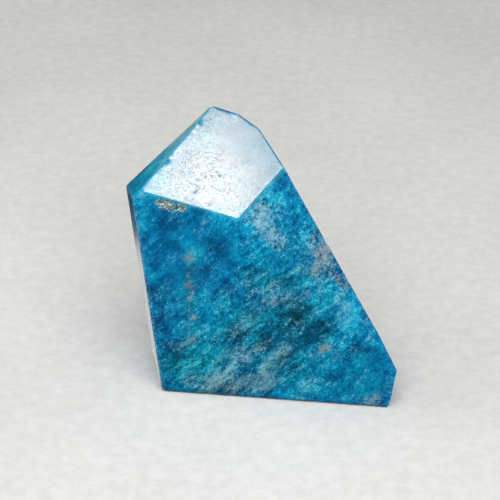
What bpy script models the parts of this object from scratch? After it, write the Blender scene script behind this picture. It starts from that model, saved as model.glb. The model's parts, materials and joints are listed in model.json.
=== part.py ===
# Polished blue apatite freeform: one solid stone, ground flat on every side by hand.
# It stands on its flat foot and leans back a little.
# Metres, +Z up. The origin is the middle of the bounding box, at the level of the foot.

import bpy
import bmesh
from math import cos, radians, sin
from mathutils import Vector

MM = 0.001

# The rough block that the faces are ground on
BLOCK = 200 * MM

# Every ground face: the way it looks (azimuth from +X towards +Y, then elevation, in
# degrees) and how far it lies from the front left corner of the foot, in millimetres
FACES = {
    "foot": (0.0, -90.0, 0.0),
    "front": (-90.0, 8.0, 0.0),
    "top": (-72.0, 55.5, 37.95),
    "front_right": (-54.5, 40.0, 33.85),
    "right": (29.0, 21.5, 51.2),
    "right_foot": (22.0, -11.0, 51.0),
    "left": (-162.5, -5.5, 0.0),
    "left_top": (174.5, 44.0, 40.6),
    "back": (89.5, -11.0, 18.0),
    "shoulder_back": (66.2, 3.8, 37.8),
    "shoulder_right": (42.6, 16.1, 49.15),
}

# The faces that run round the shoulder, in order: the ridges between them are rounded
SHOULDER = ("back", "shoulder_back", "shoulder_right", "right")
SHOULDER_ROUND = 3.0 * MM

# Corners that are worn down: the three faces that meet there, and the depth lost
WORN_CORNERS = {
    ("front", "left", "left_top"): 0.9 * MM,
    ("front", "left_top", "top"): 0.4 * MM,
    ("back", "left_top", "top"): 0.6 * MM,
    ("back", "left", "left_top"): 0.7 * MM,
    ("foot", "front", "left"): 0.6 * MM,
    ("front", "front_right", "right"): 0.15 * MM,
    ("foot", "back", "left"): 0.7 * MM,
    ("back", "foot", "right_foot"): 0.8 * MM,
}

# The polishing rounds every edge that is sharper than this angle
EDGE_ROUND = 0.45 * MM
EDGE_SEGMENTS = 3
SHARP_ANGLE = 13.0

# Merged distance, far under any size on the stone
MERGE = 0.01 * MM


def direction(azimuth, elevation):
    """Unit vector that looks along an azimuth and an elevation in degrees."""
    across = cos(radians(elevation))
    return Vector((
        across * cos(radians(azimuth)),
        across * sin(radians(azimuth)),
        sin(radians(elevation)),
    ))


def grind(bm, normal, distance, number):
    """Cut off all that lies past a plane, close the cut and number its new face."""
    face_number = bm.faces.layers.int["cut"]
    cut = bmesh.ops.bisect_plane(
        bm,
        geom=bm.verts[:] + bm.edges[:] + bm.faces[:],
        dist=MERGE,
        plane_co=normal * distance,
        plane_no=normal,
        clear_outer=True,
    )
    rim = [item for item in cut["geom_cut"] if isinstance(item, bmesh.types.BMEdge)]
    filled = bmesh.ops.holes_fill(bm, edges=rim, sides=0)
    for face in filled["faces"]:
        face[face_number] = number


def corner_between(bm, numbers):
    """The vertex where the faces with these numbers meet."""
    face_number = bm.faces.layers.int["cut"]
    for vert in bm.verts:
        around = {face[face_number] for face in vert.link_faces}
        if set(numbers) <= around:
            return vert
    raise ValueError("no such corner: " + str(numbers))


def ground_stone():
    """The stone as a closed mesh: flat faces, a rounded shoulder and worn corners."""
    bm = bmesh.new()
    bmesh.ops.create_cube(bm, size=BLOCK)
    face_number = bm.faces.layers.int.new("cut")
    number_of = {name: number for number, name in enumerate(FACES, start=1)}
    for name, (azimuth, elevation, distance) in FACES.items():
        grind(bm, direction(azimuth, elevation), distance * MM, number_of[name])

    worn = []
    for corner, depth in WORN_CORNERS.items():
        vert = corner_between(bm, [number_of[name] for name in corner])
        outward = sum((direction(*FACES[name][:2]) for name in corner), Vector())
        outward.normalize()
        worn.append((outward, outward.dot(vert.co) - depth))

    pairs = [
        {number_of[one], number_of[two]}
        for one, two in zip(SHOULDER[:-1], SHOULDER[1:])
    ]
    ridges = [
        edge for edge in bm.edges
        if {face[face_number] for face in edge.link_faces} in pairs
    ]
    bmesh.ops.bevel(
        bm, geom=ridges, offset=SHOULDER_ROUND, offset_type="OFFSET", segments=3,
        profile=0.5, affect="EDGES", clamp_overlap=True, material=-1,
    )

    for outward, distance in worn:
        grind(bm, outward, distance, 0)

    bmesh.ops.remove_doubles(bm, verts=bm.verts[:], dist=MERGE)
    bmesh.ops.recalc_face_normals(bm, faces=bm.faces[:])
    low = Vector([min(vert.co[axis] for vert in bm.verts) for axis in range(3)])
    high = Vector([max(vert.co[axis] for vert in bm.verts) for axis in range(3)])
    foot_centre = Vector(((low.x + high.x) / 2, (low.y + high.y) / 2, low.z))
    bmesh.ops.translate(bm, verts=bm.verts[:], vec=-foot_centre)
    mesh = bpy.data.meshes.new("apatite_stone")
    bm.to_mesh(mesh)
    bm.free()
    return mesh


def stone_material():
    """Polished greenish blue apatite."""
    material = bpy.data.materials.new("blue_apatite")
    material.use_nodes = True
    shader = material.node_tree.nodes["Principled BSDF"]
    shader.inputs["Base Color"].default_value = (0.008, 0.165, 0.290, 1.0)
    shader.inputs["Roughness"].default_value = 0.25
    shader.inputs["Metallic"].default_value = 0.0
    shader.inputs["IOR"].default_value = 1.63
    material.diffuse_color = (0.008, 0.165, 0.290, 1.0)
    return material


def main():
    for old in list(bpy.data.objects):
        bpy.data.objects.remove(old, do_unlink=True)

    parts = bpy.data.collections.new("blue_apatite_freeform")
    bpy.context.scene.collection.children.link(parts)

    stone = bpy.data.objects.new("apatite_stone", ground_stone())
    stone.data.materials.append(stone_material())
    parts.objects.link(stone)

    rounding = stone.modifiers.new("Rounded edges", "BEVEL")
    rounding.width = EDGE_ROUND
    rounding.segments = EDGE_SEGMENTS
    rounding.limit_method = "ANGLE"
    rounding.angle_limit = radians(SHARP_ANGLE)


main()
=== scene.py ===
import json
import random
from math import cos, pi, radians, sin

import bmesh
import bpy
import numpy as np
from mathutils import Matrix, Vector, noise

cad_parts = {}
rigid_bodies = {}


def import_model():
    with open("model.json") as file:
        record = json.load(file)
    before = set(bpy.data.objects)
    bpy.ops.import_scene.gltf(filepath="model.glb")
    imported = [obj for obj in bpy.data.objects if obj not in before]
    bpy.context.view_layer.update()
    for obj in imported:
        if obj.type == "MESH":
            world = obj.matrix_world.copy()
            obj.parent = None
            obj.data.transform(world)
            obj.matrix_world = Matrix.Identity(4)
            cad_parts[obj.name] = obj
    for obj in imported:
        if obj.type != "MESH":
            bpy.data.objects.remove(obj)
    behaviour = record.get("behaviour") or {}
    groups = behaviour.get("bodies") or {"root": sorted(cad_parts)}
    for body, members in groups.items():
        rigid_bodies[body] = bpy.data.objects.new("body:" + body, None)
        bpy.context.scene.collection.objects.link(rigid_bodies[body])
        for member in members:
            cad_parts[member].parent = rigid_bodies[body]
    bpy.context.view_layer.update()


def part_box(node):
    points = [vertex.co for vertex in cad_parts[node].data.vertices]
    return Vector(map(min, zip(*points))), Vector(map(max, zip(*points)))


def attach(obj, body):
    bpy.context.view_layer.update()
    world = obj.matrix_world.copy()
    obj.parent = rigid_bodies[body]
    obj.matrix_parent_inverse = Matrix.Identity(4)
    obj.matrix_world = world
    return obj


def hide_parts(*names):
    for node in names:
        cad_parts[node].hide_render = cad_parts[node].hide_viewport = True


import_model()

mm = 0.001  # the scene is in metres

# The stone's ground faces: azimuth from +X towards +Y, elevation, and the distance in mm
# from the front left corner of the foot. They are the CAD's faces.
stoneShape = {
    "block": 200.0,
    "faces": {
        "foot": (0.0, -90.0, 0.0),
        "front": (-90.0, 8.0, 0.0),
        "top": (-72.0, 55.5, 37.95),
        "frontRight": (-54.5, 40.0, 33.85),
        "right": (29.0, 21.5, 51.2),
        "rightFoot": (22.0, -11.0, 51.0),
        "left": (-162.5, -5.5, 0.0),
        "leftTop": (174.5, 44.0, 40.6),
        "back": (89.5, -11.0, 18.0),
        "shoulderBack": (66.2, 3.8, 37.8),
        "shoulderRight": (42.6, 16.1, 49.15),
    },
    # corners worn down: the faces that meet, and the depth lost in mm
    "wornCorners": {
        ("front", "left", "leftTop"): 0.9,
        ("front", "leftTop", "top"): 0.4,
        ("back", "leftTop", "top"): 0.6,
        ("back", "left", "leftTop"): 0.7,
        ("foot", "front", "left"): 0.6,
        ("front", "frontRight", "right"): 0.15,
        ("foot", "back", "left"): 0.7,
        ("back", "foot", "rightFoot"): 0.8,
    },
    # how far each ridge is rounded by the polishing, in mm
    "edgeRound": 0.42,
    "ridgeRound": {
        ("back", "top"): 0.26,
        ("shoulderBack", "top"): 0.26,
        ("shoulderRight", "top"): 0.26,
        ("right", "top"): 0.26,
        ("front", "top"): 0.28,
        ("frontRight", "top"): 0.28,
        ("foot", "front"): 0.75,
        ("foot", "left"): 0.75,
        ("foot", "rightFoot"): 0.75,
        ("back", "foot"): 0.75,
    },
    "roundSteps": 25,
    "ridgeReach": 0.8,  # a ridge's own rounding holds this far past its radius
    "ridgeFade": (1.6, 0.6),
    # the mesh on the faces: side of a cell, the smallest side, the fewest cells across
    "cell": 0.60,
    "smallestCell": 0.12,
    "fewestCells": 7,
    "firstCut": 0.37,  # how much of the first cell is left out, as a share of a cell
    "lastCell": 0.2,  # the least of the last cell, as a share of a cell
    "rimCuts": (0.10, 0.24, 0.45),  # how far in from a ridge the mesh has its extra lines
    "rimmedFrom": 4.0,  # faces wider than this have the extra lines
    # points that are closer than this become one: on the ground body, on the fine mesh
    "groundMerge": 0.001,
    "fineMerge": 0.03,
}

# Small damage and wear, in mm
stoneWear = {
    "edgeStart": 0.05,
    "edgeReach": 0.7,
    "edgeDepth": 0.10,
    "roughSize": 1.1,
    "crispRidges": (
        ("front", "top"), ("frontRight", "top"), ("front", "frontRight"), ("back", "top"),
        ("shoulderBack", "top"), ("shoulderRight", "top"), ("right", "top"),
    ),
    "crispness": 0.92,
    "crispReach": (1.2, 0.7),
    "nicks": 70,
    "nickedFrom": 0.8,  # nicks lie where a ridge is worn more than this
    "nickSize": (0.35, 0.9),
    "nickDepth": (0.08, 0.28),
    "waveLength": 14.0,
    "waveDepth": 0.035,
    "waveLevel": 0.5,
    "stillRidge": 0.6,  # how much fainter worn ridges look beside the still faces
    "seed": 7,
}

# Rough hollows that the grinding left open on the forward faces, in mm
openHollows = {
    # x and z from the foot's front left corner, half length, half width, turn in degrees, depth
    "spots": (
        (0.9, 49.2, 2.5, 1.9, -12, 0.50),
        (3.9, 48.6, 1.6, 1.2, 0, 0.30),
    ),
    "steepness": 4.0,  # how much faster they end under the face than along it
    "underTop": (0.05, 0.5),  # they fade out at the ridge of the top face
    "crumbSize": 0.9,
    "crumbs": (0.6, 0.9),  # how rough the floor of a hollow is: middle and swing
    "crumbRange": (0.1, 1.4),
}


def direction(azimuth, elevation):
    across = cos(radians(elevation))
    return Vector((across * cos(radians(azimuth)), across * sin(radians(azimuth)), sin(radians(elevation))))


def faceNormal(name):
    azimuth, elevation, _ = stoneShape["faces"][name]
    return direction(azimuth, elevation)


# The stone's body

def grind(bm, normal, distance, number):
    faceTag = bm.faces.layers.int["face"]
    cut = bmesh.ops.bisect_plane(
        bm, geom=bm.verts[:] + bm.edges[:] + bm.faces[:], dist=stoneShape["groundMerge"],
        plane_co=normal * distance, plane_no=normal, clear_outer=True,
    )
    rim = [item for item in cut["geom_cut"] if isinstance(item, bmesh.types.BMEdge)]
    for face in bmesh.ops.holes_fill(bm, edges=rim, sides=0)["faces"]:
        face[faceTag] = number


def cornerPoint(bm, numbers):
    faceTag = bm.faces.layers.int["face"]
    for vert in bm.verts:
        if set(numbers) <= {face[faceTag] for face in vert.link_faces}:
            return vert.co.copy()
    raise ValueError("no such corner")


def groundBody():
    # the block with every face and worn corner ground on it, in mm from the foot's corner
    bm = bmesh.new()
    bmesh.ops.create_cube(bm, size=stoneShape["block"])
    faceTag = bm.faces.layers.int.new("face")
    numberOf = {name: number for number, name in enumerate(stoneShape["faces"], start=1)}
    for name, (azimuth, elevation, distance) in stoneShape["faces"].items():
        grind(bm, direction(azimuth, elevation), distance, numberOf[name])
    worn = []
    for corner, depth in stoneShape["wornCorners"].items():
        outward = sum((faceNormal(name) for name in corner), Vector()).normalized()
        point = cornerPoint(bm, [numberOf[name] for name in corner])
        worn.append((outward, outward.dot(point) - depth))
    for outward, distance in worn:
        grind(bm, outward, distance, 0)
    bmesh.ops.remove_doubles(bm, verts=bm.verts[:], dist=stoneShape["groundMerge"])
    bmesh.ops.recalc_face_normals(bm, faces=bm.faces[:])
    planes = [(faceNormal(name), plan[2]) for name, plan in stoneShape["faces"].items()]
    return bm, planes + worn


def cutPieces(bm, pieces, point, normal):
    edges = {edge for piece in pieces for edge in piece.edges}
    verts = {vert for piece in pieces for vert in piece.verts}
    cut = bmesh.ops.bisect_plane(
        bm, geom=list(verts) + list(edges) + pieces, dist=stoneShape["fineMerge"],
        plane_co=point, plane_no=normal,
    )
    return [item for item in cut["geom"] if isinstance(item, bmesh.types.BMFace)]


def cutRims(bm, face):
    # narrow strips along the rim of one face, where its ridges are rounded
    pieces = [face]
    centre = face.calc_center_median()
    done = []
    for one, two in [[vert.co.copy() for vert in edge.verts] for edge in face.edges]:
        inward = face.normal.cross(two - one).normalized()
        inward = inward if inward.dot(centre - one) > 0 else -inward
        if any(inward.dot(other) > 0.9999 for other in done):  # the same ridge again
            continue
        done.append(inward)
        for inset in stoneShape["rimCuts"]:
            pieces = cutPieces(bm, pieces, one + inward * inset, inward)
    return pieces


def cutGrid(bm, pieces, normal, cell):
    # square cells, cut a strip at a time
    side = Vector((0, 0, 1)).cross(normal)
    side = side.normalized() if side.length > 0.2 else Vector((1, 0, 0))
    corners = [vert.co.copy() for piece in pieces for vert in piece.verts]
    for axis in (side, normal.cross(side)):
        along = [corner.dot(axis) for corner in corners]
        finished = []
        for step in range(1, int((max(along) - min(along)) / cell) + 1):
            level = min(along) + (step - stoneShape["firstCut"]) * cell
            if level > max(along) - stoneShape["lastCell"] * cell:
                continue
            cut = cutPieces(bm, pieces, axis * level, axis)
            pieces = []
            for piece in cut:
                beyond = piece.calc_center_median().dot(axis) > level
                (pieces if beyond else finished).append(piece)
        pieces = finished + pieces


def fineBody():
    # the ground body with a fine, even mesh
    bm, planes = groundBody()
    for face in sorted(bm.faces, key=lambda flat: flat.calc_area()):  # smallest first
        size = face.calc_area() ** 0.5
        normal = face.normal.copy()
        pieces = cutRims(bm, face) if size > stoneShape["rimmedFrom"] else [face]
        cell = min(stoneShape["cell"], size / stoneShape["fewestCells"])
        cutGrid(bm, pieces, normal, max(cell, stoneShape["smallestCell"]))
    bmesh.ops.dissolve_degenerate(bm, edges=bm.edges[:], dist=stoneShape["fineMerge"])
    bmesh.ops.triangulate(bm, faces=bm.faces[:])
    for face in bm.faces:
        face.smooth = True
    bmesh.ops.recalc_face_normals(bm, faces=bm.faces[:])
    return bm, planes


def ridgeRadius(depths):
    # the rounding at each place, in mm: a listed ridge's own fades into the usual one
    usual = stoneShape["edgeRound"]
    fadeOut, fadeIn = stoneShape["ridgeFade"]
    wider = 0.0
    tighter = 0.0
    for (one, two), size in stoneShape["ridgeRound"].items():
        reach = stoneShape["ridgeReach"] + size
        near = smoothStep(fadeOut * reach, fadeIn * reach, np.maximum(depths[one], depths[two]))
        wider = np.maximum(wider, (size - usual) * near)
        tighter = np.minimum(tighter, (size - usual) * near)
    return usual + wider + tighter


def roundRidges(places, planes, radius):
    # moves each place onto the body with rounded ridges: a ball's radius out from the nearest
    # point of the same body drawn in by that radius; also gives the direction it faces
    nearest = places.copy()
    drift = [np.zeros_like(places) for _ in planes]
    for _ in range(stoneShape["roundSteps"]):
        for number, (normal, distance) in enumerate(planes):
            towards = np.array(normal)
            start = nearest + drift[number]
            over = np.maximum(start @ towards - (distance - radius), 0.0)
            nearest = start - over[:, None] * towards
            drift[number] = start - nearest
    away = places - nearest
    facing = away / np.linalg.norm(away, axis=1)[:, None]
    return nearest + facing * radius[:, None], facing


def smoothStep(low, high, value):
    t = np.clip((value - low) / (high - low), 0.0, 1.0)
    return t * t * (3.0 - 2.0 * t)


def noiseField(places, size, seed):
    # one smooth noise value for each place, about -1 to 1
    offset = Vector((seed * 17.3, seed * 5.1, seed * 9.7))
    return np.array([noise.noise(Vector(place) / size + offset) for place in places])


def noiseShift(places, size, seed):
    offset = Vector((seed * 11.9, seed * 3.7, seed * 7.3))
    return np.array([noise.noise_vector(Vector(place) / size + offset) for place in places])


def faceDepths(places):
    # how far each place lies under each of the ground faces, in mm
    return {
        name: stoneShape["faces"][name][2] - places @ np.array(faceNormal(name))
        for name in stoneShape["faces"]
    }


def wearSurface(places):
    # worn ridges, nicks along them, open hollows and the slight waves that hand polishing leaves
    chance = random.Random(stoneWear["seed"])
    depths = faceDepths(places)
    nearest = np.sort(np.array(list(depths.values())), axis=0)
    ridge = 1.0 - smoothStep(stoneWear["edgeStart"], stoneWear["edgeReach"], nearest[1])
    # the ridges round the top face and between the forward faces stayed crisp
    for one, two in stoneWear["crispRidges"]:
        near = smoothStep(*stoneWear["crispReach"], np.maximum(depths[one], depths[two]))
        ridge = ridge * (1.0 - near * stoneWear["crispness"])
    rough = 0.5 + 0.5 * noiseField(places, stoneWear["roughSize"], 1)
    sink = ridge * rough * rough * stoneWear["edgeDepth"]

    onRidge = np.flatnonzero(ridge > stoneWear["nickedFrom"])
    for _ in range(stoneWear["nicks"]):
        centre = places[onRidge[chance.randrange(len(onRidge))]]
        size = chance.uniform(*stoneWear["nickSize"])
        depth = chance.uniform(*stoneWear["nickDepth"]) * size
        far = np.linalg.norm(places - centre, axis=1) / size
        sink = np.maximum(sink, depth * np.clip(1.0 - far * far, 0.0, 1.0))

    forward = np.maximum(np.minimum(depths["front"], depths["frontRight"]), 0.0)
    middle, swing = openHollows["crumbs"]
    crumbled = middle + swing * noiseField(places, openHollows["crumbSize"], 5)
    crumbled = np.clip(crumbled, *openHollows["crumbRange"])
    underTop = smoothStep(*openHollows["underTop"], depths["top"])
    hollow = np.zeros(len(places))
    for *spot, depth in openHollows["spots"]:
        here = placedPatches(places, forward * openHollows["steepness"], [(*spot, 1.0)]) * underTop
        hollow = np.maximum(hollow, here)
        sink = np.maximum(sink, depth * here * crumbled)

    wave = noiseField(places, stoneWear["waveLength"], 2) - stoneWear["waveLevel"]
    sink = sink - wave * stoneWear["waveDepth"] * (1.0 - ridge)
    return np.maximum(sink, 0.0), ridge, hollow


# Colour patches on the faces that look forwards: x and z in mm from the foot's front left
# corner, half length, half width, turn in degrees, strength. They were set by comparing renders
# with the photograph, and may be moved, added or left out one by one.

paleSpots = [
    (21.5, 46.0, 3.5, 1.4, -60, 0.60), (24.0, 43.8, 4.8, 1.5, -38, 0.65), (25.5, 46.2, 3.2, 1.6, 10, 0.32),
    (26.2, 41.8, 3.3, 2.0, -42, 0.38), (37.2, 37.0, 4.2, 2.2, -55, 0.38), (29.1, 39.8, 2.1, 1.5, -12, 0.45),
    (23.4, 46.5, 4.0, 1.2, 20, 0.40), (29.6, 46.5, 2.1, 1.3, 0, 0.15), (33.3, 41.6, 2.1, 2.2, 0, 0.35),
    (38.5, 31.8, 1.8, 1.2, -10, 0.55), (43.4, 27.6, 1.5, 3.2, 6, 0.40), (49.6, 22.3, 1.3, 1.2, 0, 0.50),
    (50.6, 19.3, 0.7, 1.0, 0, 0.70), (26.4, 30.0, 2.5, 1.5, -70, 0.75), (31.8, 27.3, 3.4, 1.5, 15, 0.36),
    (24.3, 28.5, 1.9, 1.6, 0, 0.40), (21.4, 30.1, 2.2, 1.6, 0, 0.50), (21.0, 26.0, 4.3, 1.2, 40, 0.60),
    (19.9, 19.4, 6.8, 1.7, 52, 0.40), (24.5, 18.4, 4.7, 1.2, 54, 0.32), (21.7, 12.4, 5.2, 1.5, 45, 0.60),
    (24.9, 9.2, 6.8, 2.5, 50, 0.40), (31.4, 14.7, 3.6, 1.5, 40, 0.12), (43.4, 17.2, 3.8, 1.5, 36, 0.50),
    (42.8, 21.8, 3.1, 1.2, 83, 0.30), (36.5, 6.1, 2.4, 1.5, 64, 0.50), (34.9, 3.0, 2.2, 1.0, 74, 0.32),
    (36.0, 38.4, 2.4, 1.8, -55, 0.45), (40.1, 6.9, 2.2, 0.8, 5, 0.35), (20.7, 1.6, 3.5, 1.4, 5, 0.35),
    (15.7, 1.7, 3.0, 1.4, 5, 0.30), (10.7, 1.9, 2.5, 1.4, 5, 0.25), (31.8, 0.6, 3.0, 0.8, 5, 0.35),
    (7.0, 2.7, 3.0, 1.6, 5, 0.70), (2.7, 17.3, 2.0, 2.1, 0, 0.30), (1.0, 12.7, 2.5, 1.1, 0, 0.25),
    (19.0, 39.7, 0.7, 1.3, 0, 0.60), (6.9, 20.0, 1.0, 1.3, 0, 0.50), (11.8, 16.1, 2.9, 2.4, 0, 0.30),
    (14.4, 5.7, 3.7, 2.3, 50, 0.45), (17.6, 7.3, 4.8, 1.5, 54, 0.50), (15.5, 63.0, 3.4, 1.7, -13, 0.40),
    (12.1, 62.0, 2.9, 2.2, 0, 0.50), (3.5, 59.0, 4.5, 2.0, 48, 0.30), (-5.0, 50.6, 1.8, 1.0, 30, 0.90),
    (31.5, 21.6, 3.0, 2.0, 40, 0.30), (28.7, 26.5, 3.0, 1.6, 20, 0.35), (55.0, 10.4, 0.6, 0.9, 0, 1.20),
    (5.5, 61.3, 3.0, 1.5, 48, 0.40), (2.0, 12.6, 2.2, 0.9, 10, 0.30), (42.7, 29.9, 1.8, 1.8, 0, 0.50),
    (25.6, 44.6, 2.4, 1.6, 0, 0.35), (20.5, 46.0, 2.5, 1.0, -20, 0.30), (23.0, 47.7, 2.0, 1.4, 0, 0.62),
    (8.5, 5.5, 2.2, 1.4, 30, 0.55), (24.3, 6.9, 2.2, 1.2, 20, 0.35), (21.2, 18.3, 2.6, 1.2, 50, 0.45),
    (40.8, 33.0, 2.0, 1.4, -50, 0.45),
]
# a duller grey haze, low down and round the middle
hazeSpots = [
    (22.5, 4.5, 5.5, 3.0, 12, 0.65), (14.5, 3.4, 6.0, 2.4, 8, 0.50), (26.5, 9.5, 6.5, 2.4, 50, 0.35),
    (29.0, 27.0, 4.5, 1.8, 20, 0.40), (21.0, 21.0, 6.0, 1.6, 50, 0.25), (7.0, 14.0, 2.5, 6.0, 0, 0.15),
    (24.5, 43.5, 4.5, 2.0, -40, 0.20), (36.0, 34.0, 5.0, 2.0, -55, 0.34), (50.0, 2.0, 3.0, 1.5, 0, 0.30),
    (43.0, 24.0, 2.0, 4.0, 10, 0.30), (6.5, 28.0, 1.1, 9.0, 0, 0.36), (6.0, 36.6, 2.6, 1.8, 0, 0.22),
    (15.5, 7.5, 8.0, 3.0, 48, 0.40), (28.0, 12.5, 7.0, 2.4, 48, 0.20), (40.5, 14.5, 3.5, 2.2, 45, 0.28),
    (44.5, 26.5, 3.0, 2.5, 0, 0.20), (34.0, 3.6, 3.2, 2.0, 30, 0.30), (4.0, 12.5, 3.5, 1.6, 20, 0.15),
    (38.5, 39.0, 3.5, 2.0, -55, 0.50),
]
roseSpots = [
    (36.2, 37.8, 2.0, 1.8, 0, 0.75), (37.7, 34.7, 1.6, 2.2, 0, 0.65), (20.2, 46.0, 1.5, 1.2, 0, 0.50),
    (41.6, 31.6, 1.6, 1.2, 0, 0.50), (39.9, 14.5, 1.8, 1.4, 0, 0.75), (36.3, 12.7, 2.3, 1.3, 46, 0.50),
    (51.8, 1.4, 2.9, 1.9, 0, 0.70), (47.6, 2.7, 1.9, 1.9, 0, 0.15), (6.3, 47.6, 1.0, 0.8, 0, 0.50),
    (37.0, 36.4, 3.6, 1.5, -60, 0.30), (41.0, 32.5, 3.5, 1.2, -55, 0.42), (24.5, 4.2, 4.5, 2.2, 12, 0.30),
]
rustSpots = [
    (44.1, 29.7, 1.0, 1.3, 0, 0.85), (28.0, 25.7, 1.5, 0.9, 0, 0.72), (34.6, 29.0, 1.0, 2.0, 0, 0.40),
    (37.9, 36.6, 1.3, 0.7, -50, 0.75), (41.3, 32.8, 1.0, 0.6, -50, 0.75), (36.8, 38.4, 0.8, 0.6, 0, 0.40),
    (5.8, 36.7, 1.4, 1.2, 0, 0.62), (2.7, 36.8, 1.2, 0.5, 0, 0.25), (6.1, 29.3, 0.7, 1.0, 0, 0.80),
    (6.1, 25.9, 0.9, 1.0, 0, 0.40), (7.2, 20.3, 0.7, 0.9, 0, 0.75), (6.9, 14.4, 0.9, 1.4, 0, 0.35),
    (6.4, 27.0, 0.4, 8.0, 0, 0.25), (1.5, 49.1, 1.7, 1.0, -7, 0.60), (5.1, 48.6, 1.4, 1.0, 0, 0.60),
    (39.9, 14.6, 1.2, 0.9, 0, 0.90), (24.4, 5.5, 1.6, 1.0, 20, 0.35), (22.0, 29.5, 1.0, 0.7, 0, 0.30),
]
deepSpots = [
    (2.4, 43.9, 3.2, 2.3, 0, 0.50), (13.3, 38.6, 2.4, 3.3, 0, 0.60), (-0.9, 38.6, 3.4, 2.1, 0, 0.30),
    (0.8, 28.1, 2.2, 3.7, 0, 0.50), (3.5, 25.2, 1.2, 1.1, 0, 0.50), (-0.5, 20.2, 2.0, 3.2, 0, 0.85),
    (10.4, 42.0, 3.0, 2.8, 0, 0.30), (9.0, 29.8, 2.0, 3.6, 0, 0.45), (-1.0, 25.3, 2.5, 2.8, 0, 0.45),
    (-0.5, 15.5, 2.5, 3.0, 0, 0.25), (1.6, 7.4, 2.6, 2.6, 0, 0.30), (24.4, 14.9, 2.7, 1.7, 42, 1.25),
    (15.8, 29.0, 1.7, 1.6, 0, 0.50), (22.8, 33.6, 2.7, 1.7, 0, 0.55), (29.8, 31.7, 3.6, 1.9, 15, 0.70),
    (32.6, 24.2, 3.9, 2.1, 15, 1.20), (37.6, 19.4, 5.6, 2.5, 40, 0.85), (27.0, 17.0, 3.6, 2.0, 50, 0.60),
    (31.8, 20.4, 3.2, 1.8, 35, 0.90), (18.0, 16.3, 3.2, 1.2, 54, 0.50), (20.3, 22.8, 3.6, 1.0, 49, 0.22),
    (30.5, 9.9, 3.7, 2.5, 55, 0.50), (26.3, 1.8, 2.0, 1.6, 0, 0.50), (48.4, 15.1, 2.8, 1.8, 0, 0.95),
    (53.9, 3.7, 1.9, 2.2, 0, 0.50), (32.0, 45.7, 5.8, 1.1, -55, 0.15), (15.5, 1.5, 5.5, 1.6, 0, 0.85),
    (28.2, 4.6, 1.8, 1.6, 0, 0.45), (55.4, 7.0, 1.6, 2.4, 0, 0.45), (12.2, 33.1, 2.2, 2.0, 0, 0.45),
    (18.3, 12.6, 2.0, 1.4, 45, 0.40), (6.4, 31.5, 1.6, 2.4, 0, 0.30), (-1.0, 34.4, 3.0, 1.6, 0, 0.40),
    (5.5, 14.0, 2.2, 1.3, 0, 0.35), (39.6, 16.9, 2.0, 1.2, 40, 0.30), (17.9, 19.2, 2.0, 1.4, 50, 0.45),
    (3.2, 11.6, 3.0, 2.8, 0, 0.60), (31.9, 13.5, 2.6, 1.4, 45, 0.40),
]
brightSpots = [
    (39.9, 29.1, 2.6, 2.4, 0, 0.48), (44.2, 22.9, 2.9, 3.1, 0, 1.10), (-4.1, 49.7, 2.4, 1.8, 0, 0.70),
    (28.2, 47.9, 3.1, 1.3, 0, 0.35), (-2.9, 39.7, 1.0, 4.4, 0, 0.40), (24.8, 39.0, 2.4, 1.8, 0, 0.50),
    (10.6, 43.4, 1.9, 1.8, 0, 0.20), (15.3, 32.3, 1.9, 2.6, 0, 0.20), (11.3, 19.5, 2.9, 2.6, 0, 0.50),
    (30.5, 1.6, 3.0, 1.6, 0, 0.60), (36.4, 26.8, 1.9, 1.6, 0, 0.50), (15.8, 45.8, 4.0, 1.3, -15, 0.85),
    (-5.0, 51.5, 5.0, 3.0, 45, 0.40), (0.0, 56.5, 5.0, 2.5, 48, 0.30), (44.5, 26.8, 2.6, 2.4, 0, 0.60),
    (34.0, 3.6, 3.2, 2.0, 30, 0.48), (18.8, 38.5, 2.8, 2.8, 0, 0.35), (3.6, 15.8, 2.0, 1.6, 0, 0.15),
    (45.5, 11.0, 4.0, 3.0, 0, 0.15), (-1.5, 30.4, 2.0, 2.0, 0, 0.50), (26.0, 44.5, 2.6, 2.0, 0, 0.55),
    (30.8, 46.2, 3.5, 1.5, -58, 0.60), (26.3, 49.5, 2.0, 1.2, 0, 0.50), (34.5, 30.7, 2.2, 1.6, 0, 0.65),
    (43.8, 16.9, 2.6, 1.8, 0, 0.70), (6.3, 40.8, 2.2, 1.8, 0, 0.50), (14.5, 43.3, 2.6, 1.6, 0, 0.45),
    (19.8, 43.8, 2.2, 1.6, 0, 0.50), (10.4, 24.4, 2.3, 2.4, 0, 0.25), (46.8, 24.6, 1.6, 2.0, 0, 0.60),
    (39.3, 24.9, 1.8, 1.6, 0, 0.50), (33.4, 40.3, 2.6, 1.8, -55, 0.65), (53.1, 15.3, 1.4, 1.4, 0, 0.50),
    (7.0, 11.6, 1.2, 1.4, 0, 0.35), (25.0, 29.9, 2.0, 1.4, 0, 0.35), (12.4, 12.2, 2.2, 1.8, 0, 0.35),
]
tealSpots = [
    (15.5, 14.0, 15.0, 11.0, 30, 0.70), (31.2, 21.5, 11.0, 8.0, 40, 0.45), (7.0, 5.0, 8.0, 6.0, 0, 0.50),
    (29.0, 5.5, 9.0, 5.0, 0, 0.35), (27.0, 43.0, 9.0, 5.0, -50, 0.40), (32.8, 24.5, 6.0, 3.5, 15, 0.60),
    (37.6, 19.4, 7.0, 4.0, 40, 0.60), (30.5, 10.0, 6.0, 4.0, 55, 0.50), (31.0, 31.0, 6.5, 2.8, 15, 0.60),
    (22.5, 32.0, 4.5, 3.0, 0, 0.60), (6.4, 28.0, 2.0, 10.0, 0, 0.40), (2.0, 7.0, 4.0, 4.0, 0, 0.40),
    (15.5, 1.5, 6.0, 2.0, 0, 0.60), (46.0, 9.0, 9.0, 8.0, 0, 0.30), (38.5, 34.5, 8.0, 3.0, -55, 0.55),
]
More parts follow.
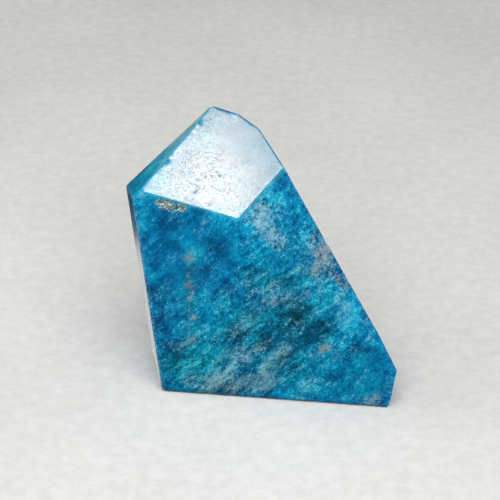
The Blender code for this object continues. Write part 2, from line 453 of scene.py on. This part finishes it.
# small dark pits close together
pittedSpots = [
    (16.9, 47.7, 2.0, 1.0, 15, 1.1), (-4.8, 50.6, 2.4, 1.6, 30, 0.8), (10.0, 61.5, 3.5, 2.0, 20, 0.9),
    (12.5, 52.0, 6.0, 3.0, 40, 0.5),
]
# fine curled scratches
curlSpots = [
    (8.8, 53.0, 5.5, 3.5, -54, 1.2), (12.5, 51.5, 4.0, 3.0, -54, 0.5),
]
# where the grain is calm and the blue is clear
calmSpots = [
    (4.0, 41.0, 12.0, 11.0, 0, 0.9), (2.0, 26.0, 7.0, 12.0, 0, 0.8), (12.0, 33.0, 9.0, 8.0, 0, 0.5),
    (51.0, 9.0, 10.0, 5.5, 55, 1.0), (44.0, 23.5, 5.0, 4.5, 0, 0.5), (-1.0, 8.0, 5.0, 6.0, 0, 0.4),
]

# The same kinds of patch, scattered over the sides and the back:
# how many, half length from and to, half width as a share of it, strength from and to
scatteredSpots = {
    "pale": (46, 2.0, 7.0, 0.35, 0.35, 0.80),
    "rose": (10, 1.5, 3.0, 0.80, 0.40, 0.70),
    "rust": (12, 0.8, 2.2, 0.60, 0.40, 0.80),
    "deep": (34, 2.0, 6.0, 0.50, 0.50, 0.90),
    "bright": (20, 1.8, 4.0, 0.70, 0.40, 0.80),
    "teal": (7, 7.0, 14.0, 0.70, 0.60, 0.90),
    "calm": (9, 5.0, 11.0, 0.70, 0.60, 0.90),
    "haze": (16, 3.0, 8.0, 0.45, 0.30, 0.70),
    "pitted": (8, 1.5, 3.5, 0.60, 0.40, 0.90),
    "curls": (6, 3.0, 7.0, 0.70, 0.50, 1.00),
}

# How patches are laid and what the ridges do to them: depths and sizes in mm
patchPlan = {
    "depth": 5.0,  # how far under the forward faces a placed patch reaches
    "edge": (0.15, 1.65),  # where a placed patch starts to fade and where it ends, in half sizes
    "scatteredEdge": (0.45, 1.35),
    "hiddenFrom": 5.0,  # scattered patches have their middles deeper than this
    "hiddenFade": (3.0, 7.0),
    "leanAzimuth": (-30.0, 30.0),
    "leanRise": (25.0, 60.0),
    "bends": ((1.7, 3.6), (0.8, 1.4)),  # how far the patches' edges wander, over what length
    "most": 1.4,  # overlapping patches come near this and don't pile up past it
    # the painted contact shadow along the foot: where it is gone and where it is full, in mm above the foot
    # face
    "footShadow": (0.95, 0.25),
    "footDepth": 0.3,
    "topSkin": (0.6, 0.1),
    "leftTopCalm": 0.6,
    "skinStart": (0.05, 0.35),
    "topTeal": 0.3,
    "tealSkin": (0.5, 0.1),
    "tealStart": (0.1, 0.4),
    "rubbed": (0.45, 0.10),
}

# The narrow face beside the top on the left: it is clear blue; its upper end is painted paler and brighter
# as a painted reflection
leftTopLook = {
    "skin": (0.9, 0.2),
    "underTop": (0.0, 0.5),
    "paintedReflectionHeights": (50.0, 59.0),  # height above the foot, in mm
    "teal": 0.6,
    "haze": 0.4,
    "bright": 0.30,
    "paintedReflectionBright": 0.60,
    "paleLoss": 0.8,
    "paintedReflectionPale": 1.1,
}


def placedPatches(places, depth, spots):
    # the strength at each place of patches that are laid on the forward faces
    total = np.zeros(len(places))
    for x, z, half, width, turn, strength in spots:
        right = places[:, 0] - x
        up = places[:, 2] - z
        along = (right * cos(radians(turn)) + up * sin(radians(turn))) / half
        across = (up * cos(radians(turn)) - right * sin(radians(turn))) / width
        reach = np.sqrt(along ** 2 + across ** 2 + (depth / patchPlan["depth"]) ** 2)
        total += strength * (1.0 - smoothStep(*patchPlan["edge"], reach))
    return total


def scatteredPatches(places, depth, plan, chance):
    # the same for patches that lie at random on the other faces, each leaning its own way
    count, shortest, longest, slender, weakest, strongest = plan
    hidden = np.flatnonzero(depth > patchPlan["hiddenFrom"])
    total = np.zeros(len(places))
    for _ in range(count):
        centre = places[hidden[chance.randrange(len(hidden))]]
        half = chance.uniform(shortest, longest)
        lean = direction(chance.uniform(*patchPlan["leanAzimuth"]), chance.uniform(*patchPlan["leanRise"]))
        strength = chance.uniform(weakest, strongest)
        away = places - centre
        along = away @ np.array(lean)
        across = np.sqrt(np.maximum((away ** 2).sum(1) - along ** 2, 0.0))
        reach = np.sqrt((along / half) ** 2 + (across / (half * slender)) ** 2)
        total += strength * (1.0 - smoothStep(*patchPlan["scatteredEdge"], reach))
    return total * smoothStep(*patchPlan["hiddenFade"], depth)


def patchFields(places):
    # every colour patch as a number at each vertex
    noise.seed_set(stoneWear["seed"])  # otherwise noise_vector starts from the clock
    chance = random.Random(stoneWear["seed"] + 1)
    depths = faceDepths(places)
    depth = np.min([depths[name] for name in ("front", "frontRight", "top", "leftTop")], axis=0)
    depth = np.maximum(depth, 0.0)
    shifted = places
    for seed, (amount, size) in enumerate(patchPlan["bends"], start=1):
        shifted = shifted + amount * noiseShift(places, size, seed)
    placed = {
        "pale": paleSpots, "rose": roseSpots, "rust": rustSpots,
        "haze": hazeSpots, "deep": deepSpots, "bright": brightSpots, "teal": tealSpots,
        "calm": calmSpots, "pitted": pittedSpots, "curls": curlSpots,
    }
    most = patchPlan["most"]
    fields = {}
    for name, spots in placed.items():
        front = placedPatches(shifted, depth, spots)
        field = front + scatteredPatches(shifted, depth, scatteredSpots[name], chance)
        fields[name] = most * (1.0 - np.exp(-field / most))
    changeTop(fields, depths)
    changeLeftTop(fields, depths, places[:, 2])
    fields["calm"] = np.maximum(fields["calm"], fields["still"])
    # the ridges below the top are rubbed paler
    fields["rubbed"] = np.max([
        smoothStep(*patchPlan["rubbed"], np.maximum(depths["top"], depths[name]))
        for name in ("front", "frontRight", "leftTop")
    ], axis=0)
    # the foot is left less polished, and a dark line along it is painted contact shadow
    fields["rim"] = smoothStep(*patchPlan["footShadow"], depths["foot"])
    fields["satin"] = np.where(depths["foot"] < patchPlan["footDepth"], 1.0, 0.0)
    return fields


def changeTop(fields, depths):
    # the top face and the one left of it have still colours, the top's a little more teal
    under = np.minimum(depths["front"], depths["frontRight"])
    topSkin = smoothStep(*patchPlan["topSkin"], depths["top"])
    leftTopSkin = patchPlan["leftTopCalm"] * smoothStep(*patchPlan["topSkin"], depths["leftTop"])
    fields["still"] = np.maximum(topSkin, leftTopSkin) * smoothStep(*patchPlan["skinStart"], under)
    tealSkin = patchPlan["topTeal"] * smoothStep(*patchPlan["tealSkin"], depths["top"])
    fields["teal"] = fields["teal"] + tealSkin * smoothStep(*patchPlan["tealStart"], under)


def changeLeftTop(fields, depths, height):
    look = leftTopLook
    strip = smoothStep(*look["skin"], depths["leftTop"]) * smoothStep(*look["underTop"], depths["top"])
    # its upper end gets a painted reflection: paler and brighter colour
    high = smoothStep(*look["paintedReflectionHeights"], height)
    fields["teal"] = fields["teal"] * (1.0 - strip) - look["teal"] * strip
    fields["haze"] = fields["haze"] * (1.0 - strip) - look["haze"] * strip
    fields["bright"] = fields["bright"] + strip * (look["bright"] + look["paintedReflectionBright"] * high)
    pale = fields["pale"] * (1.0 - look["paleLoss"] * strip)
    fields["pale"] = pale + look["paintedReflectionPale"] * strip * high


def makeStone(material):
    bm, planes = fineBody()
    places = np.array([vert.co[:] for vert in bm.verts])
    print("ground body:", len(places), "points on", len(planes), "planes")
    fields = patchFields(places)
    print("colour patches:", len(fields), "kinds")
    sink, fields["ridge"], fields["hollow"] = wearSurface(places)
    fields["ridge"] = fields["ridge"] * (1.0 - stoneWear["stillRidge"] * fields["still"])
    rounded, facing = roundRidges(places, planes, ridgeRadius(faceDepths(places)))
    worn = rounded - facing * sink[:, None]
    print("wear: at most", round(float(sink.max()), 2), "mm deep")

    # onto the CAD stone's place, and to metres
    low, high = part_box("apatite_stone")
    shift = np.array([low.x, low.y, low.z]) / mm - worn.min(0)
    shift = (shift + np.array([high.x, high.y, high.z]) / mm - worn.max(0)) / 2
    shift[2] = low.z / mm - worn[:, 2].min()
    for vert, place in zip(bm.verts, (worn + shift) * mm):
        vert.co = place
    mesh = bpy.data.meshes.new("polished_stone")
    bm.to_mesh(mesh)
    bm.free()
    for name, values in fields.items():
        attribute = mesh.attributes.new(name, "FLOAT", "POINT")
        attribute.data.foreach_set("value", values.astype(np.float32))
    mesh.materials.append(material)
    stone = bpy.data.objects.new("polished_stone", mesh)
    bpy.context.scene.collection.objects.link(stone)
    # the wide flats set the shading, so the narrow ridges don't bend it
    stone.modifiers.new("Weighted normals", "WEIGHTED_NORMAL").weight = 50
    print("stone:", len(mesh.polygons), "triangles")
    return stone


# Materials

def addNode(tree, kind, links=None, **settings):
    # a node with its settings; links maps an input's name or number to a value or socket
    node = tree.nodes.new(kind)
    for name, value in settings.items():
        setattr(node, name, value)
    for key, value in (links or {}).items():
        if isinstance(value, bpy.types.NodeSocket):
            tree.links.new(value, node.inputs[key])
        else:
            node.inputs[key].default_value = value
    return node


def mathNode(tree, operation, one, two=0.0, clamp=False):
    links = {0: one, 1: two}
    return addNode(tree, "ShaderNodeMath", links, operation=operation, use_clamp=clamp).outputs[0]


def plus(tree, one, two):
    return mathNode(tree, "ADD", one, two)


def minus(tree, one, two):
    return mathNode(tree, "SUBTRACT", one, two)


def times(tree, one, two):
    return mathNode(tree, "MULTIPLY", one, two)


def mapRange(tree, value, low, high, toLow=0.0, toHigh=1.0, kind="SMOOTHSTEP"):
    links = {"Value": value, "From Min": low, "From Max": high, "To Min": toLow, "To Max": toHigh}
    return addNode(tree, "ShaderNodeMapRange", links, interpolation_type=kind).outputs["Result"]


def noiseNode(tree, vector, scale, detail, roughness):
    links = {"Vector": vector, "Scale": scale, "Detail": detail, "Roughness": roughness}
    return addNode(tree, "ShaderNodeTexNoise", links).outputs["Fac"]


def voronoiNode(tree, vector, scale, output):
    return addNode(tree, "ShaderNodeTexVoronoi", {"Vector": vector, "Scale": scale}).outputs[output]


def rampNode(tree, factor, stops):
    node = addNode(tree, "ShaderNodeValToRGB", {"Fac": factor})
    elements = node.color_ramp.elements
    while len(elements) < len(stops):
        elements.new(0.5)
    for element, (position, colour) in zip(elements, stops):
        element.position = position
        element.color = (*colour, 1.0)
    return node.outputs["Color"]


def mixColour(tree, factor, one, two, blend="MIX"):
    node = addNode(tree, "ShaderNodeMix", data_type="RGBA", blend_type=blend)
    for key, value in ((0, factor), (6, one), (7, two)):
        if isinstance(value, bpy.types.NodeSocket):
            tree.links.new(value, node.inputs[key])
        elif key == 0:
            node.inputs[0].default_value = value
        else:
            node.inputs[key].default_value = (*value, 1.0)
    return node.outputs[2]


def cellChance(tree, vector, scale):
    # an even random number for each Voronoi cell
    links = {"Color": voronoiNode(tree, vector, scale, "Color")}
    cell = addNode(tree, "ShaderNodeSeparateColor", links)
    total = plus(tree, plus(tree, cell.outputs[0], cell.outputs[1]), cell.outputs[2])
    return mathNode(tree, "FRACT", times(tree, total, 37.7))


def attributeNode(tree, name):
    return addNode(tree, "ShaderNodeAttribute", attribute_name=name).outputs["Fac"]


# Colours are linear, lengths are in mm
apatiteLook = {
    # the body colour from the darkest to the brightest parts
    "blueStops": [
        (0.00, (0.001, 0.040, 0.110)), (0.25, (0.001, 0.083, 0.210)), (0.50, (0.001, 0.175, 0.365)),
        (0.75, (0.003, 0.330, 0.530)), (1.00, (0.055, 0.590, 0.750)),
    ],
    "tealStops": [
        (0.00, (0.002, 0.034, 0.056)), (0.25, (0.002, 0.085, 0.125)), (0.50, (0.002, 0.190, 0.270)),
        (0.75, (0.006, 0.350, 0.440)), (1.00, (0.080, 0.610, 0.690)),
    ],
    "toneMiddle": 0.465,
    "toneSpread": 0.42,
    "tealDrift": 1.2,  # how far the clouds move the body between blue and teal
    # the patterns: scale, detail and roughness of each noise, and the cells of the grain
    "patterns": {
        "clouds": (0.10, 3.0, 0.55),
        "puffs": (0.34, 2.0, 0.50),
        "mottle": (0.38, 4.0, 0.62),
        "clots": (1.05, 3.0, 0.60),
        "sugar": (2.3, 2.0, 0.70),
    },
    "grainScale": 2.1,
    # two of them are stretched along the streaks that rise to the right
    "streakTurn": -45,
    "stretches": {"mottle": (3.2, 1.3, 0.95), "clots": (1.9, 1.2, 1.0)},
    # how strongly each pattern moves the body's tone, from the broadest to the finest
    "toneSteps": {
        "clouds": 0.45, "puffs": 0.45, "mottle": 0.85, "clots": 1.05, "sugar": 1.10, "grain": 0.16,
    },
    "calmed": ("mottle", "clots", "sugar", "grain"),
    "calming": (1.4, 0.18),  # fully calm at this field value, and what is left of the patterns
    "stillness": 0.40,
    "veilBreak": {"mottle": 1.5, "clots": 1.8, "sugar": 1.8, "grain": 0.35},
    # inclusions: colour, where the patch starts and is full, the most that it covers
    "haze": ((0.145, 0.290, 0.330), 0.00, 1.05, 0.90),
    "pale": ((0.34, 0.60, 0.67), 0.20, 1.35, 0.75),
    "rose": ((0.33, 0.33, 0.31), 0.15, 1.20, 0.75),
    "rust": ((0.24, 0.17, 0.14), 0.15, 1.00, 0.75),
    "laidFull": 0.35,  # a patch this strong is broken up in full
    "broken": 0.60,
    "mottled": {"haze": 1.6, "pale": 0.0, "rose": 0.0, "rust": 0.0},
    # how far each one strays outside its patches
    "straying": {"haze": 0.60, "pale": 0.80, "rose": 0.0, "rust": 0.0},
    # painted glints: tiny bright flecks painted into the colour where cleavage faces would flash, more of
    # them in some places
    "paintedGlint": (0.17, 0.78, 0.98),
    "paintedGlintScale": 2.4,
    "paintedGlintSize": (0.30, 0.10),
    "paintedGlintGather": {"noise": (0.22, 2.0, 0.6), "range": (0.40, 0.62, 0.015, 0.11)},
    "paintedGlintFlicker": {"noise": (0.9, 1.0, 0.5), "range": (0.3, 0.65, 0.3, 0.9)},
    # worn ridges: tint, the most that it covers, and the grains it covers
    "worn": ((0.30, 0.62, 0.72), 0.30, (0.40, 0.62)),
    "rubbed": ((0.06, 0.50, 0.68), 0.34),
    # the tan crumb in the hollows
    "crumbStops": [
        (0.00, (0.010, 0.070, 0.100)), (0.30, (0.040, 0.170, 0.190)), (0.50, (0.200, 0.260, 0.200)),
        (0.72, (0.330, 0.310, 0.210)), (0.94, (0.620, 0.700, 0.640)),
    ],
    "crumbScale": 2.9,
    "crumbBroken": 0.6,
    "crumbRange": (0.12, 0.85, 0.0, 0.85),
    # small dark pits, and the painted contact shadow along the foot
    "pit": ((0.010, 0.060, 0.075), 0.85),
    "pitScale": 1.5,
    "pitReach": 0.42,
    "pitEdge": 0.08,
    "rim": ((0.015, 0.035, 0.040), 0.85),
    # the polish: fine curled scratches, pinpricks and frosted grains
    "scratches": {"Scale": 0.80, "Detail": 1.2, "Roughness": 0.5, "Distortion": 1.5},
    "scratchWidth": (0.018, 0.006),
    "scratchPatches": {"noise": (0.30, 2.0, 0.5), "range": (0.36, 0.56, 0.05, 1.0)},
    "scratchLeast": 0.15,
    "pinpricks": {"noise": (3.0, 2.0, 0.6), "range": (0.37, 0.31)},
    "frost": {"noise": (3.4, 2.0, 0.7), "range": (0.42, 0.72, 0.0, 0.11)},
    "bumps": {"sugar": 0.06, "hollow": 6.0},
    "bumpStrength": 0.14,
    "bumpDistance": 0.00003,  # in metres
    "roughness": 0.135,
    "rougher": {"marks": 0.65, "worn": 0.15, "foot": 0.35},
    "ior": 1.5,
    "specular": 0.12,
}


def stonePatterns(tree):
    # where each point is in mm, and the patterns that colour and polish are made from
    look = apatiteLook
    objectPlace = addNode(tree, "ShaderNodeTexCoord").outputs["Object"]
    links = {"Vector": objectPlace, "Scale": (1000, 1000, 1000)}
    place = addNode(tree, "ShaderNodeMapping", links).outputs[0]
    patterns = {}
    for name, settings in look["patterns"].items():
        vector = place
        if name in look["stretches"]:
            turn = (0, radians(look["streakTurn"]), 0)
            links = {"Vector": place, "Rotation": turn, "Scale": look["stretches"][name]}
            vector = addNode(tree, "ShaderNodeMapping", links, vector_type="TEXTURE").outputs[0]
        patterns[name] = noiseNode(tree, vector, *settings)
    patterns["grain"] = cellChance(tree, place, look["grainScale"])
    return place, patterns


def noiseRange(tree, place, plan):
    # a noise with its own range, as a number at each place
    return mapRange(tree, noiseNode(tree, place, *plan["noise"]), *plan["range"])


def bodyColour(tree, centred, stir, moving):
    look = apatiteLook
    tone = minus(tree, attributeNode(tree, "bright"), attributeNode(tree, "deep"))
    tone = plus(tree, times(tree, tone, look["toneSpread"]), look["toneMiddle"])
    for name, amount in look["toneSteps"].items():
        part = times(tree, centred[name], amount)
        part = times(tree, part, stir if name in look["calmed"] else moving)
        tone = plus(tree, tone, part)
    blue = rampNode(tree, tone, look["blueStops"])
    teal = rampNode(tree, tone, look["tealStops"])
    drift = times(tree, times(tree, centred["clouds"], look["tealDrift"]), moving)
    tealness = mathNode(tree, "ADD", attributeNode(tree, "teal"), drift, clamp=True)
    return mixColour(tree, tealness, blue, teal)


def addInclusions(tree, colour, centred, breakUp, stir):
    # pale, rose and rust patches, broken up by the sugary grain
    look = apatiteLook
    for name in ("haze", "pale", "rose", "rust"):
        tint, low, high, most = look[name]
        laid = attributeNode(tree, name)
        stray = times(tree, times(tree, stir, stir), look["straying"][name])
        here = mathNode(tree, "MAXIMUM", mapRange(tree, laid, 0.0, look["laidFull"]), stray)
        broken = times(tree, centred["mottle"], look["mottled"][name])
        broken = times(tree, plus(tree, broken, breakUp), here)
        strength = plus(tree, laid, times(tree, broken, look["broken"]))
        factor = mapRange(tree, strength, low, high, 0.0, most)
        colour = mixColour(tree, factor, colour, tint)
    return colour


# painted glints: bright flecks mixed into the base colour, not gloss from the lamps
def addPaintedGlints(tree, colour, place):
    look = apatiteLook
    glintDistance = voronoiNode(tree, place, look["paintedGlintScale"], "Distance")
    glintPick = cellChance(tree, place, look["paintedGlintScale"])
    gathered = noiseRange(tree, place, look["paintedGlintGather"])
    chosen = mathNode(tree, "GREATER_THAN", gathered, glintPick)
    paintedGlint = times(tree, mapRange(tree, glintDistance, *look["paintedGlintSize"]), chosen)
    paintedGlint = times(tree, paintedGlint, noiseRange(tree, place, look["paintedGlintFlicker"]))
    return mixColour(tree, paintedGlint, colour, look["paintedGlint"])


def addWear(tree, colour, place, sugar, breakUp):
    # worn ridges are lighter, and the hollows hold a tan crumb
    look = apatiteLook
    tint, most, grains = look["worn"]
    worn = times(tree, attributeNode(tree, "ridge"), mapRange(tree, sugar, *grains))
    colour = mixColour(tree, times(tree, worn, most), colour, tint)
    tint, most = look["rubbed"]
    colour = mixColour(tree, times(tree, attributeNode(tree, "rubbed"), most), colour, tint)
    crumb = plus(tree, attributeNode(tree, "hollow"), times(tree, breakUp, look["crumbBroken"]))
    crumbTint = rampNode(tree, cellChance(tree, place, look["crumbScale"]), look["crumbStops"])
    return mixColour(tree, mapRange(tree, crumb, *look["crumbRange"]), colour, crumbTint)


def pitMask(tree, place):
    look = apatiteLook
    reach = times(tree, cellChance(tree, place, look["pitScale"]), look["pitReach"])
    reach = times(tree, attributeNode(tree, "pitted"), reach)
    depth = minus(tree, reach, voronoiNode(tree, place, look["pitScale"], "Distance"))
    return mapRange(tree, depth, 0.0, look["pitEdge"])


def polishMarks(tree, place, darkPits):
    # scratches, pinpricks and pits in the polish
    look = apatiteLook
    links = {"Vector": place, **look["scratches"]}
    scratches = addNode(tree, "ShaderNodeTexNoise", links).outputs["Fac"]
    scratches = mathNode(tree, "ABSOLUTE", minus(tree, scratches, 0.5))
    patchy = noiseRange(tree, place, look["scratchPatches"])
    curls = mapRange(tree, attributeNode(tree, "curls"), 0.0, 1.0, look["scratchLeast"], 1.0)
    patchy = times(tree, patchy, curls)
    line = times(tree, mapRange(tree, scratches, *look["scratchWidth"]), patchy)
    pinpricks = noiseRange(tree, place, look["pinpricks"])
    return mathNode(tree, "MAXIMUM", mathNode(tree, "MAXIMUM", line, pinpricks), darkPits)


def apatiteMaterial():
    look = apatiteLook
    material = bpy.data.materials.new("blue_apatite_polished")
    material.use_nodes = True
    tree = material.node_tree
    shader = tree.nodes["Principled BSDF"]

    place, patterns = stonePatterns(tree)
    centred = {name: minus(tree, value, 0.5) for name, value in patterns.items()}
    # the patterns are fainter where the stone is calm, and on the still faces
    moving = minus(tree, 1.0, times(tree, attributeNode(tree, "still"), look["stillness"]))
    calmFull, calmest = look["calming"]
    stir = mapRange(tree, attributeNode(tree, "calm"), 0.0, calmFull, 1.0, calmest)
    stir = times(tree, stir, moving)
    breakUp = 0.0
    for name, amount in look["veilBreak"].items():
        breakUp = plus(tree, times(tree, centred[name], amount), breakUp)

    colour = bodyColour(tree, centred, stir, moving)
    colour = addInclusions(tree, colour, centred, breakUp, stir)
    colour = addPaintedGlints(tree, colour, place)
    colour = addWear(tree, colour, place, patterns["sugar"], breakUp)
    darkPits = pitMask(tree, place)
    tint, most = look["pit"]
    colour = mixColour(tree, times(tree, darkPits, most), colour, tint)
    # painted contact shadow: a dark line along the foot
    tint, most = look["rim"]
    colour = mixColour(tree, times(tree, attributeNode(tree, "rim"), most), colour, tint)
    tree.links.new(colour, shader.inputs["Base Color"])

    ridge = attributeNode(tree, "ridge")
    hollow = attributeNode(tree, "hollow")
    marks = polishMarks(tree, place, darkPits)
    height = minus(tree, times(tree, patterns["sugar"], look["bumps"]["sugar"]), marks)
    crumbs = times(tree, times(tree, hollow, breakUp), look["bumps"]["hollow"])
    bump = addNode(tree, "ShaderNodeBump", {
        "Height": plus(tree, height, crumbs),
        "Strength": look["bumpStrength"],
        "Distance": look["bumpDistance"],
    })
    tree.links.new(bump.outputs[0], shader.inputs["Normal"])

    rougher = look["rougher"]
    rough = plus(tree, times(tree, marks, rougher["marks"]), look["roughness"])
    rough = plus(tree, rough, noiseRange(tree, place, look["frost"]))
    worn = mathNode(tree, "MAXIMUM", ridge, hollow)
    rough = plus(tree, rough, times(tree, worn, rougher["worn"]))
    rough = plus(tree, rough, times(tree, attributeNode(tree, "satin"), rougher["foot"]))
    tree.links.new(rough, shader.inputs["Roughness"])
    shader.inputs["IOR"].default_value = look["ior"]
    shader.inputs["Specular IOR Level"].default_value = look["specular"]
    print("polish:", len(tree.nodes), "nodes")
    return material


def floorMaterial():
    material = bpy.data.materials.new("pale_floor")
    material.use_nodes = True
    tree = material.node_tree
    shader = tree.nodes["Principled BSDF"]
    place = addNode(tree, "ShaderNodeTexCoord").outputs["Object"]
    cloud = noiseNode(tree, place, *studio["floorClouds"])
    fine = noiseNode(tree, place, *studio["floorGrain"])
    tone = plus(tree, times(tree, cloud, 0.5), times(tree, fine, 0.5))
    colour = rampNode(tree, tone, studio["floorTints"])
    tree.links.new(colour, shader.inputs["Base Color"])
    shader.inputs["Roughness"].default_value = studio["floorRoughness"]
    shader.inputs["Specular IOR Level"].default_value = studio["floorSpecular"]
    return material


# Floor, light and camera

# The camera stands where the photograph was taken from
cameraPlan = {
    "place": (48.75, -397.4, 264.4),  # in mm
    "azimuth": 97.37,  # the way it looks, from +X towards +Y
    "elevation": -30.0,
    "lens": 136.8,
}

studio = {
    "floorSize": 4.0,  # in metres
    "skyLight": 0.28,
    # a broad soft lamp that lights everything
    "key": {"place": (0.05, -0.33, 0.50), "side": 0.7, "radiance": 2.75},
    "side": {"place": (-0.55, 0.05, 0.45), "side": 0.4, "radiance": 1.6},
    # panes that only the polish mirrors: radiance, width in degrees
    "panes": {"window": (28.6, 12.0), "windowCore": (270.0, 3.2)},
    "paneTint": (1.0, 0.87, 0.70),
    "paneAway": 1.2,
    "glint": (-12.5, -2.8, 52.0),  # where on the top face the panes are mirrored, in mm
    "paneGap": 0.05,  # each pane stands this much nearer than the one before, in metres
    "aim": (0, 0, 0.02),  # the lamps point here, in metres
    "floorDrop": 0.05,  # the floor lies this far under the foot, in mm
    # the sky that the polish mirrors, from straight down to straight up
    "mirroredSky": [
        (0.00, (1.00, 1.00, 0.99)), (0.2455, (1.00, 1.00, 0.99)), (0.2495, (0.01, 0.02, 0.02)),
        (0.40, (0.01, 0.02, 0.03)), (0.50, (0.12, 0.12, 0.14)), (1.00, (0.50, 0.50, 0.50)),
    ],
    # the floor: two noises, each with its scale, detail and roughness, and its two tints
    "floorClouds": (9.0, 5.0, 0.6),
    "floorGrain": (300.0, 4.0, 0.7),
    "floorTints": [(0.35, (0.65, 0.65, 0.63)), (0.65, (0.81, 0.81, 0.79))],
    "floorRoughness": 0.8,
    "floorSpecular": 0.2,
}


def makeFloor():
    bm = bmesh.new()
    bmesh.ops.create_grid(bm, x_segments=1, y_segments=1, size=studio["floorSize"] / 2)
    bmesh.ops.translate(bm, verts=bm.verts[:], vec=(0, 0, -studio["floorDrop"] * mm))
    mesh = bpy.data.meshes.new("floor")
    bm.to_mesh(mesh)
    bm.free()
    mesh.materials.append(floorMaterial())
    floor = bpy.data.objects.new("floor", mesh)
    bpy.context.scene.collection.objects.link(floor)
    floor.visible_glossy = False


def areaLight(name, place, target, width, height, radiance, colour=(1.0, 1.0, 1.0)):
    lamp = bpy.data.lights.new(name, "AREA")
    lamp.shape = "RECTANGLE"
    lamp.size = width
    lamp.size_y = height
    lamp.energy = radiance * pi * width * height
    lamp.color = colour
    light = bpy.data.objects.new(name, lamp)
    light.location = place
    light.rotation_euler = (Vector(target) - Vector(place)).to_track_quat("-Z", "Y").to_euler()
    bpy.context.scene.collection.objects.link(light)
    return light


def makeLights():
    # the sky is even for the floor, and for the polish it is pale below, dim at the horizon
    world = bpy.data.worlds.new("studio")
    world.use_nodes = True
    tree = world.node_tree
    background = tree.nodes["Background"]
    upwards = addNode(tree, "ShaderNodeSeparateXYZ", {
        "Vector": addNode(tree, "ShaderNodeTexCoord").outputs["Generated"],
    }).outputs["Z"]
    height = mapRange(tree, upwards, -1.0, 1.0, kind="LINEAR")
    mirrored = rampNode(tree, height, studio["mirroredSky"])
    mirroring = addNode(tree, "ShaderNodeLightPath").outputs["Is Glossy Ray"]
    sky = (studio["skyLight"],) * 3
    tree.links.new(mixColour(tree, mirroring, sky, mirrored), background.inputs["Color"])
    bpy.context.scene.world = world

    for name in ("key", "side"):
        plan = studio[name]
        side = plan["side"]
        lamp = areaLight(name, plan["place"], studio["aim"], side, side, plan["radiance"])
        lamp.visible_glossy = False

    # the panes stand where the top face mirrors them to the camera
    glint = Vector(studio["glint"]) * mm
    toCamera = (Vector(cameraPlan["place"]) * mm - glint).normalized()
    normal = faceNormal("top")
    towards = 2.0 * normal.dot(toCamera) * normal - toCamera
    for number, (name, (radiance, wide)) in enumerate(studio["panes"].items()):
        away = studio["paneAway"] - studio["paneGap"] * number
        width = 2.0 * away * sin(radians(wide / 2))
        place = glint + towards * away
        pane = areaLight(name, place, glint, width, width, radiance, studio["paneTint"])
        pane.visible_diffuse = False


def makeCamera():
    lens = bpy.data.cameras.new("camera")
    lens.sensor_width = 36.0
    lens.lens = cameraPlan["lens"]
    lens.clip_start = 0.01
    camera = bpy.data.objects.new("camera", lens)
    camera.location = Vector(cameraPlan["place"]) * mm
    looks = direction(cameraPlan["azimuth"], cameraPlan["elevation"])
    camera.rotation_euler = looks.to_track_quat("-Z", "Y").to_euler()
    bpy.context.scene.collection.objects.link(camera)
    bpy.context.scene.camera = camera


makeCamera()
makeFloor()
makeLights()
print("studio: camera, floor and", len(bpy.data.lights), "lamps")
stone = makeStone(apatiteMaterial())
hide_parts("apatite_stone")
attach(stone, "root")
bpy.context.scene.view_settings.view_transform = "Standard"
